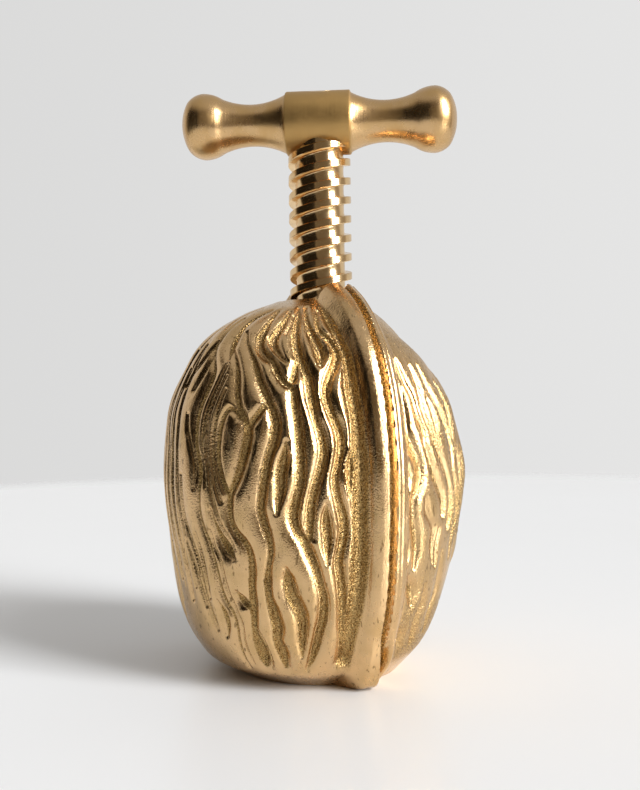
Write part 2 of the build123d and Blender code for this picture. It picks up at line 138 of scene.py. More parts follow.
# Grooves of the visible side: points (azimuth, height, width in mm) along each centre line.
# Left cheek, from the seam outwards. The crown rows, above about 56 mm, partly follow points picked
# on the photograph and turned into angle and height by a helper script, as report.md tells.
LEFT_GROOVES = (
    ((-25, 73, 1.0), (-14, 71.3, 1.5), (-9, 69.5, 1.8), (-6.5, 67, 2.0), (-6, 64, 2.2),
     (-7, 60, 2.3), (-8, 55, 2.8), (-8, 50, 2.7),
     (-8.5, 46, 3.0), (-8.5, 42, 3.2), (-9, 38, 3.2), (-9, 33, 3.4), (-8.5, 27, 3.2),
     (-8.5, 20, 3.6), (-9, 12, 3.8), (-9, 6, 2.6)),
    ((-18, 70.6, 0.9), (-17, 68, 1.2), (-15.5, 66.5, 1.4), (-12.2, 65.2, 1.7), (-10.4, 63.7, 1.9),
     (-11, 61.8, 1.9), (-13.5, 59.9, 1.8), (-16.5, 57.8, 1.7), (-18.5, 55, 1.7),
     (-17, 51.5, 1.7), (-15, 48.5, 1.8), (-14.8, 45.5, 1.8), (-16.3, 42.5, 1.7), (-17.5, 39.5, 1.7),
     (-16.6, 36.5, 1.7), (-14.8, 33, 2.0), (-14.5, 30, 2.0), (-15.5, 27.5, 1.9),
     (-16.2, 25, 1.9), (-15.2, 22, 1.9), (-14, 19, 1.9), (-13.2, 16, 1.8), (-12.5, 12.5, 1.6),
     (-11.5, 9, 1.2)),
    ((-10.8, 45.5, 1.0), (-12, 42.5, 1.8), (-12.5, 39.5, 1.6), (-12.8, 36.5, 0.8)),
    ((-34, 71.3, 0.8), (-31, 69.8, 1.2), (-29.5, 67.5, 1.6), (-28.7, 64, 1.9), (-27.5, 61, 1.9),
     (-24.8, 58, 1.8),
     (-24, 54.5, 1.9), (-23, 51, 1.6), (-21.5, 48, 1.7), (-21, 45, 1.7), (-22, 42.5, 1.7),
     (-23.5, 40, 1.7), (-25.5, 36, 1.8), (-26.3, 32.5, 1.8), (-26.5, 29.5, 1.6)),
    ((-20.5, 35.5, 0.8), (-20.8, 33, 1.7), (-20.3, 30, 1.9), (-20.3, 27.5, 1.6), (-20.3, 25, 0.8)),
    ((-50, 70.6, 0.8), (-49, 68.5, 1.2), (-48.7, 66.8, 1.7), (-49, 65.3, 1.9),
     (-47, 63.6, 1.9), (-43.5, 62.2, 1.9),
     (-40, 61, 1.6), (-37, 58.7, 1.6), (-34, 57, 1.5), (-31.3, 56, 1.4), (-30.3, 53, 1.6),
     (-29.3, 50, 1.8), (-29, 46, 1.8), (-29, 42, 1.8), (-29.5, 39, 1.8), (-31, 36, 1.9),
     (-32, 33.5, 2.0), (-31, 31, 1.8), (-28.5, 29, 1.8), (-26.5, 26.5, 1.8), (-24.5, 24, 1.7),
     (-22.5, 21, 1.6), (-21, 18.5, 1.8), (-20.5, 15, 2.0), (-21.5, 12, 1.9), (-22.5, 9, 1.8),
     (-24, 6.5, 1.4), (-26, 4.5, 0.8)),
    ((-28, 62, 1.2), (-29.5, 60, 1.5), (-31, 57.5, 1.5)),
    ((-58, 66.5, 0.8), (-54.5, 64.5, 1.0), (-51.5, 62.8, 1.2), (-48.5, 61, 1.5), (-44.5, 57.5, 1.6),
     (-41.5, 55, 1.7), (-38.8, 52.5, 1.8), (-37.3, 49.8, 1.9), (-38, 47, 1.9), (-39.8, 44.5, 1.8),
     (-41.2, 42, 1.8), (-42, 39.5, 1.8), (-42.7, 37, 1.8), (-43.3, 34.5, 1.7), (-42.3, 32, 1.6),
     (-41, 29.5, 1.5), (-40.5, 27, 1.4), (-41.5, 24.5, 1.3), (-42.3, 21.5, 1.6), (-41.8, 18.5, 1.6),
     (-40, 15.5, 2.0), (-38.5, 12.5, 2.2), (-38.8, 10, 1.8), (-37, 7.5, 1.9), (-36, 5, 1.4)),
    ((-33.5, 46.5, 0.9), (-34.8, 43.5, 1.8), (-36, 41, 2.0), (-36.2, 38.5, 1.9), (-36.8, 36, 1.5),
     (-37.3, 34, 0.8)),
    ((-35, 24, 0.9), (-34.3, 21.5, 2.2), (-33, 19, 2.6), (-30.8, 17, 2.3), (-29, 15, 2.2),
     (-28.3, 12.5, 1.9), (-28.3, 10, 1.6), (-28, 7.3, 0.9)),
    ((-62.5, 63.5, 0.8), (-59.5, 62.3, 1.0), (-56.5, 60, 1.2), (-54.5, 57.5, 1.4),
     (-53.3, 55, 1.4), (-51.5, 52.8, 1.4), (-49, 50.8, 1.5), (-48, 48.5, 1.9), (-48.8, 46, 2.0),
     (-50, 43.5, 1.9), (-51.5, 41, 1.8), (-53, 39, 1.7), (-54.8, 37, 1.6), (-55.3, 34.5, 1.5),
     (-54.8, 32, 1.3), (-53, 30, 1.3), (-50.5, 28.5, 1.4), (-48.7, 26.5, 1.5), (-48.3, 23.5, 1.6),
     (-48.8, 20.5, 1.6), (-48.6, 17.5, 1.7), (-48.5, 14.5, 1.6), (-48.6, 11.5, 1.6),
     (-47.5, 9, 2.2), (-46.5, 7, 2.4), (-46, 5, 1.6)),
    ((-41.5, 52.8, 1.4), (-44, 51.3, 1.5), (-47, 49.5, 1.6)),
    ((-50.5, 50.8, 1.4), (-53, 52, 1.2), (-55.8, 52.3, 1.1), (-58.5, 50, 1.2), (-60, 46.5, 1.3),
     (-60, 43, 1.3), (-58, 39.5, 1.3), (-55.5, 37, 1.3)),
    ((-47, 12, 0.8), (-44.8, 9.5, 1.0), (-43.3, 6.5, 1.0), (-42.8, 4.8, 0.7)),
    ((-55, 19, 0.8), (-53, 17.7, 1.5), (-51, 16.8, 1.5), (-49.5, 16, 1.0)),
    ((-61.5, 60.5, 0.6), (-64, 56, 0.9), (-65.7, 52, 1.0), (-66.9, 48, 0.9), (-67.2, 45, 0.8),
     (-66.2, 41, 0.8), (-65, 38, 0.6)),
    ((-60, 58.5, 0.5), (-61.8, 55, 0.6), (-63.4, 51.5, 0.6), (-64.6, 48, 0.6), (-64.8, 44, 0.6),
     (-63.5, 40.5, 0.7), (-61.8, 36, 0.8), (-59.2, 31.5, 0.8), (-56.3, 29, 0.8), (-54.3, 27, 0.7)),
    ((-58.5, 56, 0.6), (-60.3, 52, 0.8), (-62, 47.5, 0.9), (-62.2, 43, 0.9), (-60.7, 39, 0.8),
     (-58.3, 35.5, 0.7)),
    ((-74, 63.5, 0.8), (-71, 61.2, 1.0), (-68.8, 59, 1.2), (-69.3, 56.5, 1.4), (-70.7, 53.5, 1.5),
     (-71.6, 50.5, 1.6), (-71.8, 47.5, 1.5), (-71.2, 45, 1.4), (-69.8, 42.5, 1.6), (-69, 40, 1.5),
     (-69.3, 37, 1.1), (-69.4, 33.5, 1.0), (-68.2, 30.5, 1.0), (-66.3, 28, 1.1), (-65, 25.5, 1.0),
     (-63.5, 22.5, 1.0), (-62, 19, 1.0), (-60, 16.7, 1.0), (-57.7, 15, 1.0), (-56.4, 12.5, 1.0),
     (-56.4, 9, 1.0), (-56.2, 6.5, 0.9), (-55.5, 4, 0.7)),
    ((-63.3, 33.8, 0.7), (-61.7, 31, 1.1), (-60, 28.7, 1.6), (-57.8, 27, 1.8), (-55.6, 25.8, 1.3),
     (-54, 25.2, 0.6)),
    ((-64.5, 30, 0.6), (-63.3, 27, 0.7), (-61, 24.7, 0.7), (-59.5, 21, 0.7), (-58, 18.5, 0.7),
     (-56, 16, 0.7), (-53.5, 13, 0.7), (-53.5, 9, 0.8), (-52.3, 5, 0.7)),
    ((-64.5, 16.8, 0.7), (-62.5, 14.7, 1.3), (-61.5, 12.5, 1.3), (-62, 10, 0.8)),
    ((-85.5, 56.5, 0.8), (-84, 58.8, 0.9), (-81, 60.8, 1.0), (-78.8, 62.9, 1.1), (-76.3, 65, 1.1),
     (-76, 67, 0.9), (-76, 69.5, 0.7)),
    ((-77.5, 55.8, 0.8), (-75, 59, 1.0), (-73.8, 61.5, 1.0), (-75, 63.8, 1.0), (-74.5, 65.3, 0.7)),
    ((-77, 51.3, 0.7), (-76.3, 48.5, 0.9), (-74.5, 46.3, 0.8), (-72.8, 44, 0.8), (-71.4, 41, 0.8),
     (-71.5, 37.5, 0.6)),
    ((-79.5, 40, 0.6), (-79, 34, 0.8), (-78.3, 31, 0.9), (-76.3, 28, 0.9), (-74.3, 25.3, 1.0),
     (-72.5, 22, 1.0), (-71.3, 19, 1.0), (-70, 16, 0.9), (-68, 13, 0.9), (-66.5, 11, 0.7)),
    ((-72.5, 29, 0.7), (-71.3, 26, 0.9), (-70, 23, 0.9), (-69, 20, 0.8), (-68.3, 17, 0.7)),
    ((-79.5, 27, 0.7), (-77.3, 24.3, 0.9), (-75, 21.5, 0.9), (-73, 18.3, 0.9), (-71, 15.3, 0.7)),
    ((-39, 70.5, 0.8), (-38.5, 69, 1.1), (-39, 67.5, 1.5), (-41, 65.5, 1.8), (-39.8, 64, 1.7),
     (-37.2, 62.4, 1.4), (-33.5, 60.8, 0.8)),
    ((-34.5, 69.8, 0.6), (-33.2, 68, 0.8), (-34.3, 66, 0.6)),
    ((-28.5, 71.4, 0.8), (-24.5, 69.3, 1.2), (-21.8, 67.5, 1.5), (-19.5, 65.7, 2.0), (-18.3, 64, 2.3),
     (-18, 62.3, 2.2), (-19, 60.3, 1.2)),
    ((-58, 70.9, 0.8), (-63, 70, 1.1), (-65.8, 69, 1.4), (-66, 67.7, 1.5), (-65, 66.2, 1.6),
     (-63.8, 64.2, 1.6), (-62.2, 61.7, 1.0)),
    ((-79, 71.6, 0.7), (-84, 70.9, 0.8), (-86, 69.8, 0.8), (-82, 67.8, 0.8), (-79, 66, 0.8)),
)
# Right cheek, from the seam outwards.
RIGHT_GROOVES = (
    ((9.5, 60, 0.9), (10.5, 57, 1.6), (12, 54, 1.9), (11.5, 50.5, 1.8), (11, 47.5, 1.9),
     (13.3, 44, 2.1), (14.8, 41, 2.0), (13.5, 38, 1.8), (11.5, 35, 1.5), (12, 32, 1.6),
     (13.8, 29, 1.7), (14.7, 26, 1.5), (14.3, 22.8, 0.8)),
    ((7.2, 44, 0.8), (8.3, 41.3, 1.5), (8.2, 38.5, 1.5), (7.2, 36, 0.8)),
    ((8.3, 58, 0.7), (7.8, 53, 1.0), (8, 49, 0.8)),
    ((18, 61, 0.8), (17.3, 57, 1.2), (18.3, 54, 1.5), (18.2, 51, 1.5), (20, 48, 1.6), (19, 45.8, 1.2),
     (20.5, 42.5, 1.5), (22.5, 39.5, 1.7), (25, 37.3, 1.6), (27.3, 35, 1.5), (28, 32, 1.2)),
    ((25.5, 60, 0.8), (24.5, 56.5, 1.3), (22.3, 53, 1.5), (22.5, 50, 1.5), (24.5, 47, 1.6),
     (26.5, 44, 1.6), (29.3, 41, 1.6), (32.3, 37.5, 1.4), (33.5, 33.5, 1.5), (33, 29.5, 1.2)),
    ((26.5, 53.5, 0.7), (27.6, 50.5, 1.3), (27.2, 47.5, 0.8)),
    ((9.8, 28, 0.8), (10.2, 26, 1.1), (9.6, 23.8, 0.8)),
    ((17.3, 35.5, 0.8), (18.3, 33, 1.3), (20.8, 31.3, 1.2), (23.5, 29.5, 1.4), (23.6, 26.5, 1.4),
     (25, 23.3, 0.9)),
    ((27, 29.5, 0.7), (26.2, 26, 1.0), (27, 22.5, 0.8)),
    ((11.5, 21.8, 0.7), (13.8, 20, 1.6), (16, 18.3, 2.0), (17, 16, 1.1)),
    ((10.3, 18.5, 0.7), (11.2, 15.5, 1.1), (12, 12.5, 1.3), (14.5, 10, 1.8), (16.5, 8.5, 1.0)),
    ((32, 60, 0.8), (31.5, 56, 1.4), (33.5, 52, 1.6), (36, 48.5, 1.7), (37.5, 44.5, 1.5),
     (36.8, 40.5, 1.5), (38.5, 36.5, 1.5), (40, 32, 1.4), (38.5, 27.5, 1.2), (39.5, 23, 0.8)),
    ((31, 25, 0.8), (33, 21, 1.4), (34.5, 17, 1.5), (34, 13, 1.3), (36, 9, 0.8)),
    ((22.5, 19.5, 0.7), (24.5, 16, 1.3), (24, 12, 1.4), (26, 8, 1.0)),
    ((41, 57, 0.9), (42.5, 52.5, 1.5), (41.8, 47, 1.5), (44.5, 42, 1.6), (44, 37, 1.5),
     (46, 31, 1.4), (45.5, 26, 1.3), (47.5, 20, 1.2), (46, 14, 1.0), (48, 9, 0.7)),
)
CHANNEL_DEPTH_LIMIT = 1.4
SOFT_DEPTH_LIMIT = 1.3
CHANNEL_SHARE = 0.8
SOFT_SHARE = 0.6
SOFT_REACH = 4.5
LAND_LIFT = 0.15
RIGHT_STRENGTH = 0.62

# Faint lines of the left flank, azimuths where they start at the top
FAINT_LINES = (-108, -104, -100.5, -97, -93.5, -90, -87, -84.3, -81.8)

# Grooves of the hidden side are grown by rule between these azimuths
GROWN_FROM = 52.0
GROWN_TO = 250.0
GROWN_SPACING = 5.6

# ------------------------------------------------------------------ small helpers


def smoothstep(low, high, value):
    """0 below low, 1 above high, and a smooth rise between them."""
    t = np.clip((value - low) / (high - low), 0.0, 1.0)
    return t * t * (3.0 - 2.0 * t)


def monotone_curve(xs, ys):
    """A smooth curve through the points that doesn't overshoot between them."""
    xs = np.asarray(xs, float)
    ys = np.asarray(ys, float)
    steps = np.diff(xs)
    slopes = np.diff(ys) / steps
    tangents = np.empty(len(xs))
    tangents[0] = slopes[0]
    tangents[-1] = slopes[-1]
    same_way = slopes[:-1] * slopes[1:] > 0
    weight_a = 2 * steps[1:] + steps[:-1]
    weight_b = steps[1:] + 2 * steps[:-1]
    safe_a = np.where(same_way, slopes[:-1], 1.0)
    safe_b = np.where(same_way, slopes[1:], 1.0)
    mean = (weight_a + weight_b) / (weight_a / safe_a + weight_b / safe_b)
    tangents[1:-1] = np.where(same_way, mean, 0.0)

    def curve(x):
        i = np.clip(np.searchsorted(xs, x) - 1, 0, len(xs) - 2)
        h = steps[i]
        t = np.clip((x - xs[i]) / h, 0.0, 1.0)
        a = (1 + 2 * t) * (1 - t) ** 2 * ys[i] + t * (1 - t) ** 2 * h * tangents[i]
        b = t * t * (3 - 2 * t) * ys[i + 1] + t * t * (t - 1) * h * tangents[i + 1]
        return a + b

    return curve


def section_curves(sections):
    """Curves of height for centre x, centre y, half width x and half width y."""
    table = np.array(sections)
    return [monotone_curve(table[:, 0], table[:, k]) for k in range(1, 5)]


def mesh_object(name, points, faces, smooth=True):
    """A new mesh object from points in millimetres and faces, with no loose or doubled corners."""
    mesh = bpy.data.meshes.new(name)
    mesh.from_pydata((np.asarray(points) * MM).tolist(), [], faces)
    mesh.validate()
    work = bmesh.new()
    work.from_mesh(mesh)
    bmesh.ops.remove_doubles(work, verts=work.verts, dist=1e-7)
    bmesh.ops.recalc_face_normals(work, faces=work.faces)
    work.to_mesh(mesh)
    work.free()
    for polygon in mesh.polygons:
        polygon.use_smooth = smooth
    piece = bpy.data.objects.new(name, mesh)
    bpy.context.scene.collection.objects.link(piece)
    return piece


def grid_faces(rows, columns, wrap=True):
    """Quads of a grid of points stored row by row, joined round if wrap is set."""
    r, c = np.meshgrid(np.arange(rows - 1), np.arange(columns if wrap else columns - 1), indexing="ij")
    nxt = (c + 1) % columns
    quads = np.stack([r * columns + c, r * columns + nxt, (r + 1) * columns + nxt, (r + 1) * columns + c], -1)
    return quads.reshape(-1, 4).tolist()


def closed_grid(name, rings, smooth=True):
    """A closed piece from rings of points, shape (rows, columns, 3), with a fan at each end."""
    rows, columns, _ = rings.shape
    points = rings.reshape(-1, 3)
    ends = np.array([rings[0].mean(0), rings[-1].mean(0)])
    faces = grid_faces(rows, columns)
    first, last = len(points), len(points) + 1
    top = (rows - 1) * columns
    for c in range(columns):
        n = (c + 1) % columns
        faces.append((first, n, c))
        faces.append((last, top + c, top + n))
    return mesh_object(name, np.vstack([points, ends]), faces, smooth)


def turned_piece(name, profile, columns=96, smooth=True):
    """A closed piece turned about Z from (radius, height) points, bottom first."""
    angles = np.linspace(0, 2 * math.pi, columns, endpoint=False)
    rings = np.array([[(r * math.cos(a), r * math.sin(a), z) for a in angles] for r, z in profile])
    return closed_grid(name, rings, smooth)


def apply_booleans(piece, tools):
    """Cuts or joins the tools into the piece and drops them. Each tool is (object, operation)."""
    for tool, operation in tools:
        change = piece.modifiers.new(tool.name, "BOOLEAN")
        change.object = tool
        change.operation = operation
        change.solver = "MANIFOLD"
        tool.hide_render = True
    bpy.context.view_layer.update()
    finished = piece.evaluated_get(bpy.context.evaluated_depsgraph_get())
    mesh = bpy.data.meshes.new_from_object(finished)
    piece.modifiers.clear()
    old = piece.data
    piece.data = mesh
    mesh.name = piece.name
    bpy.data.meshes.remove(old)
    for tool, _ in tools:
        bpy.data.objects.remove(tool)
    return piece


def vertex_array(mesh):
    """The mesh's points in millimetres, one row each."""
    flat = np.empty(len(mesh.vertices) * 3)
    mesh.vertices.foreach_get("co", flat)
    return flat.reshape(-1, 3) / MM


def point_attribute(mesh, name, values):
    """Stores one number per point for the materials to read."""
    attribute = mesh.attributes.new(name, "FLOAT", "POINT")
    attribute.data.foreach_set("value", np.asarray(values, np.float32))


def smooth_by_angle(piece, degrees):
    """Shades the piece smooth, with sharp edges where faces meet at more than the angle."""
    work = bmesh.new()
    work.from_mesh(piece.data)
    limit = math.radians(degrees)
    for face in work.faces:
        face.smooth = True
    for edge in work.edges:
        edge.smooth = len(edge.link_faces) == 2 and edge.calc_face_angle(0.0) < limit
    work.to_mesh(piece.data)
    work.free()


# ------------------------------------------------------------------ the shell's surface

shell_x, shell_y, shell_half_x, shell_half_y = section_curves(SHELL_SECTIONS)
foot_curve = monotone_curve(*zip(*KEEL_FOOT))
keel_height = monotone_curve(*zip(*KEEL_HEIGHT))
keel_section = monotone_curve(*zip(*KEEL_SECTION))


def shell_point(azimuth, z):
    """Point of the smooth ovoid at an azimuth in degrees and a height."""
    t = np.radians(azimuth)
    x = shell_x(z) + shell_half_x(z) * np.sin(t)
    y = shell_y(z) - shell_half_y(z) * np.cos(t)
    return np.stack([x, y, z + 0 * x], -1)


def row_heights():
    """Heights of the side rows, evenly spaced along the shell's meridian."""
    z = np.linspace(0.0, SHELL_SECTIONS[-1][0], 2000)
    radius = (shell_half_x(z) + shell_half_y(z)) / 2
    length = np.concatenate([[0], np.cumsum(np.hypot(np.diff(z), np.diff(radius)))])
    return np.interp(np.linspace(0, length[-1], SHELL_ROWS), length, z)


def smooth_line(points, per_span=5):
    """Catmull-Rom line through given points of any number of columns."""
    p = np.array(points, float)
    p = np.vstack([2 * p[0] - p[1], p, 2 * p[-1] - p[-2]])
    out = []
    for i in range(1, len(p) - 2):
        for t in np.linspace(0, 1, per_span, endpoint=False):
            a = 2 * p[i]
            b = (p[i + 1] - p[i - 1]) * t
            c = (2 * p[i - 1] - 5 * p[i] + 4 * p[i + 1] - p[i + 2]) * t**2
            d = (3 * p[i] - p[i - 1] - 3 * p[i + 1] + p[i + 2]) * t**3
            out.append(0.5 * (a + b + c + d))
    out.append(p[-2])
    return np.array(out)


def grown_grooves(rng):
    """Wandering grooves with forks and lens-shaped pockets for the side that faces away."""
    lines = []
    for start in np.arange(GROWN_FROM, GROWN_TO, GROWN_SPACING):
        phase = rng.uniform(0, 2 * math.pi)
        swing = rng.uniform(1.2, 2.4)
        pieces = rng.choice((1, 2, 2, 3))
        cuts = np.sort(rng.uniform(18, 60, pieces - 1)).tolist()
        levels = [70 + rng.uniform(-3, 2)] + cuts[::-1] + [5 + rng.uniform(-1, 2)]
        for top, bottom in zip(levels[:-1], levels[1:]):
            if top - bottom < 7:
                continue
            heights = np.arange(top - 0.8, bottom + 0.8, -3.2)
            drift = swing * np.sin(heights / 4.6 + phase) + rng.uniform(-0.7, 0.7)
            widths = rng.uniform(1.3, 2.1) + 0.25 * np.sin(heights / 3.1 + phase)
            widths[0] *= 0.5
            widths[-1] *= 0.5
            if len(heights) > 2:
                lines.append(list(zip(start + drift, heights, widths)))
    return lines


def faint_lines(rng):
    """Fine, long, almost straight lines of the left flank."""
    lines = []
    for start in FAINT_LINES:
        phase = rng.uniform(0, 2 * math.pi)
        top = rng.uniform(58, 71)
        bottom = rng.uniform(6, 22)
        heights = np.arange(top, bottom, -3.5)
        drift = 1.0 * np.sin(heights / 11 + phase) + 7.0 * smoothstep(40, 5, heights)
        widths = rng.uniform(0.45, 0.8) + 0.2 * np.sin(heights / 5 + phase)
        lines.append(list(zip(start + drift, heights, widths)))
    return lines


def lip_weight(x):
    """1 on the seam's two lips, 0 away from them, on both the closed side and the window side."""
    left = smoothstep(-LEFT_LIP_WIDTH - 0.5, -LEFT_LIP_WIDTH + 0.45, x)
    right = 1 - smoothstep(RIGHT_LIP_WIDTH - 0.5, RIGHT_LIP_WIDTH + 0.4, x)
    return left * right


def groove_field(azimuth, z, lines, strengths):
    """How far the grooves cut at each grid point: the sharp channel and the soft fall towards it."""
    channel = np.zeros_like(azimuth)
    soft = np.zeros_like(azimuth)
    mean_radius = (shell_half_x(z[:, 0]) + shell_half_y(z[:, 0])) / 2
    degree = np.radians(1.0) * mean_radius
    rise = np.gradient(z[:, 0])
    slant = np.hypot(rise, np.gradient(mean_radius)) / rise
    for line, strength in zip(lines, strengths):
        path = smooth_line(line)
        lowest = path[:, 1].min() - SOFT_REACH
        highest = path[:, 1].max() + SOFT_REACH
        rows = np.where((z[:, 0] > lowest) & (z[:, 0] < highest))[0]
        if len(rows) == 0:
            continue
        middle = (path[:, 0].min() + path[:, 0].max()) / 2
        half = (path[:, 0].max() - path[:, 0].min()) / 2 + SOFT_REACH / degree[rows].min()
        offset = (azimuth[0] - middle + 180) % 360 - 180
        columns = np.where(np.abs(offset) < half)[0]
        az = offset[columns][None, :] + middle
        scale = degree[rows, None]
        slope = slant[rows, None]
        nearest = np.full((len(rows), len(columns)), 99.0)
        width = np.ones_like(nearest)
        for (a0, z0, w0), (a1, z1, w1) in zip(path[:-1], path[1:]):
            ux, uz = (a1 - a0) * scale, (z1 - z0) * slope
            px, pz = (az - a0) * scale, (z[rows, :1] - z0) * slope
            t = np.clip((px * ux + pz * uz) / np.maximum(ux * ux + uz * uz, 1e-9), 0, 1)
            away = np.hypot(px - t * ux, pz - t * uz)
            closer = away < nearest
            nearest = np.where(closer, away, nearest)
            width = np.where(closer, w0 + (w1 - w0) * t, width)
        limit = strength * np.minimum(CHANNEL_DEPTH_LIMIT, 0.2 + 0.62 * width)
        soft_limit = strength * np.minimum(SOFT_DEPTH_LIMIT, 0.9 * np.maximum(width - 0.55, 0.0))
        place = np.ix_(rows, columns)
        cut = limit * np.exp(-((nearest / (0.55 * width)) ** 2))
        channel[place] = np.maximum(channel[place], cut)
        fall = soft_limit * np.exp(-((nearest / (0.4 * width + 1.35)) ** 2))
        soft[place] = np.maximum(soft[place], fall)
    return channel, soft


def window_rim(points):
    """Signed distance in mm, outwards, from the edge of the nut window, on the window's side."""
    dx = points[..., 0] / WINDOW_HALF_WIDTH
    dz = (points[..., 2] - WINDOW_CENTRE_Z) / WINDOW_HALF_HEIGHT
    ratio = np.hypot(dx, dz)
    reach = (WINDOW_HALF_WIDTH + WINDOW_HALF_HEIGHT) / 2
    distance = (ratio - 1) * reach
    return np.where(points[..., 1] > 6, distance, 99.0)


def relief_grid():
    """The shell's finished outside: points, the grid's azimuths and heights, and the recess map that its
    material reads.
    """
    rng = np.random.default_rng(SEED)
    heights = row_heights()
    columns = np.arange(SHELL_COLUMNS) * 360 / SHELL_COLUMNS
    azimuth, z = np.meshgrid(columns, heights)
    base = shell_point(azimuth, z)
    east = np.roll(base, -1, 1) - np.roll(base, 1, 1)
    north = np.gradient(base, axis=0)
    normal = np.cross(east, north)
    normal /= np.linalg.norm(normal, axis=2, keepdims=True)
    x, y = base[..., 0], base[..., 1]

    lines = list(LEFT_GROOVES) + list(RIGHT_GROOVES) + faint_lines(rng) + grown_grooves(rng)
    strengths = [RIGHT_STRENGTH if line in RIGHT_GROOVES else 1.0 for line in lines]
    channel, soft = groove_field(azimuth, z, lines, strengths)
    lips = lip_weight(x)
    rim = window_rim(base)
    margins = smoothstep(1.0, 6.5, z) * (1 - 0.5 * smoothstep(69, 73.3, z))
    open_field = margins * smoothstep(1.6, 4.5, rim) * (1 - lips)
    channel = channel * open_field
    depth = CHANNEL_SHARE * channel + SOFT_SHARE * soft * open_field - LAND_LIFT * open_field

    # Keel: raised lips, the fine groove between them and the foot at the front
    front = y < shell_y(z)
    low = front * (1 - smoothstep(8, 15, z))
    keel = keel_section(x) * np.where(np.abs(x) < 7, 1.0, 0.0)
    ridge = normal * (keel_height(z) * keel * (1 - low))[..., None]
    left_foot = smoothstep(-5.4, -2.0, x) * (1 - smoothstep(0.2, 2.0, x))
    right_foot = np.exp(-(((x - 2.1) / 1.2) ** 2)) * (0.45 + 0.5 * smoothstep(1.0, 8.0, z))
    foot = np.maximum(left_foot, right_foot) * low
    ridge[..., 1] += (foot_curve(z) - y) * foot
    centre = 0.9 * (1 - smoothstep(2, 13, z)) * front
    across = np.abs(x - centre)
    groove = 1 - smoothstep(SEAM_GROOVE_HALF_WIDTH * 0.4, SEAM_GROOVE_HALF_WIDTH * 1.5, across)
    fade = smoothstep(2.0, 6.0, z)
    fine = sum(1 - smoothstep(0.1, 0.34, np.abs(x - at)) for at in (1.75, 2.6))
    fine = fine * smoothstep(14, 30, z) * front
    seam_cut = SEAM_GROOVE_DEPTH * groove * fade + 0.16 * fine

    # Rounded rim of the window, and cast pebbling in the recesses
    rolled = -0.9 * (1 - smoothstep(-0.4, 1.4, rim)) + 0.35 * np.exp(-(((rim - 2.2) / 1.2) ** 2))
    grain = rng.standard_normal(z.shape)
    grain = (grain + np.roll(grain, 1, 0) + np.roll(grain, 1, 1) + np.roll(np.roll(grain, 1, 0), 1, 1)) / 2
    swell = rng.standard_normal(z.shape)
    for _ in range(3):
        for shift in (9, 5, 3):
            swell = (np.roll(swell, shift, 0) + np.roll(swell, -shift, 0) + swell) / 3
            swell = (np.roll(swell, shift, 1) + np.roll(swell, -shift, 1) + swell) / 3
    swell /= swell.std()
    turned = (azimuth + 180) % 360 - 180
    pebbled = smoothstep(-15, -11, turned) * (1 - smoothstep(-6, -4, turned)) * (1 - smoothstep(26, 38, z))
    grainy = smoothstep(8, 14, turned) * (1 - smoothstep(60, 75, turned))
    grainy = grainy * np.clip(0.52 + 0.1 * swell, 0.3, 0.7)
    # The recess map also sets where the material paints shade.
    recess = np.maximum(smoothstep(0.2, 1.05, channel), 0.75 * pebbled * open_field)
    recess = np.maximum(recess, grainy * open_field)
    lift = -depth + 0.025 * grain * smoothstep(0.2, 0.8, recess) + 0.07 * swell * open_field
    lift = lift - seam_cut + rolled * (rim < 20)
    points = base + normal * lift[..., None] + ridge
    # Nothing reaches below the table
    points[..., 2] = np.maximum(points[..., 2], 0.0)
    recess = np.maximum(recess, groove * fade)
    return points, azimuth, z, recess


def recess_at(points, azimuth, z, recess):
    """The recess map read back at any points, by azimuth and height."""
    height = np.clip(points[:, 2], 0, SHELL_SECTIONS[-1][0])
    cx, cy = shell_x(height), shell_y(height)
    t = np.degrees(
        np.arctan2((points[:, 0] - cx) / shell_half_x(height), -(points[:, 1] - cy) / shell_half_y(height))
    )
    column = np.round((t % 360) * SHELL_COLUMNS / 360).astype(int) % SHELL_COLUMNS
    row = np.clip(np.searchsorted(z[:, 0], height), 0, SHELL_ROWS - 1)
    return recess[row, column]


def chamber_tool():
    """Solid of the nut chamber."""
    curves = section_curves(CHAMBER_SECTIONS)
    heights = np.concatenate([[8.0], np.linspace(8.3, 61.9, 60), [62.0]])
    angles = np.linspace(0, 2 * math.pi, 128, endpoint=False)
    rings = []
    for z in heights:
        cx, cy, half_x, half_y = [float(curve(np.array([z]))[0]) for curve in curves]
        rings.append([(cx + half_x * math.cos(a), cy + half_y * math.sin(a), z) for a in angles])
    return closed_grid("chamber_tool", np.array(rings))


def window_tool():
    """Solid of the nut window, opening slightly outwards."""
    rings = []
    for y, grow in ((8.0, -0.2), (30.0, 0.0), (36.0, 0.3), (48.0, 2.0)):
        ring = []
        for a in np.linspace(0, 2 * math.pi, 160, endpoint=False):
            x = (WINDOW_HALF_WIDTH + grow) * math.cos(a)
            z = WINDOW_CENTRE_Z + (WINDOW_HALF_HEIGHT + grow) * math.sin(a)
            ring.append((x, y, z))
        rings.append(ring)
    return closed_grid("window_tool", np.array(rings))


def bore_tool():
    """Solid of the bush seat and the clearance hole above it."""
    profile = (
        (BUSH_RADIUS, 61.0),
        (BUSH_RADIUS, BUSH_TOP_Z),
        (CROWN_HOLE_RADIUS, BUSH_TOP_Z + 0.01),
        (CROWN_HOLE_RADIUS, 74.6),
        (CROWN_HOLE_RADIUS + 0.4, 75.4),
        (CROWN_HOLE_RADIUS + 1.0, 78.5),
    )
    return turned_piece("bore_tool", profile)


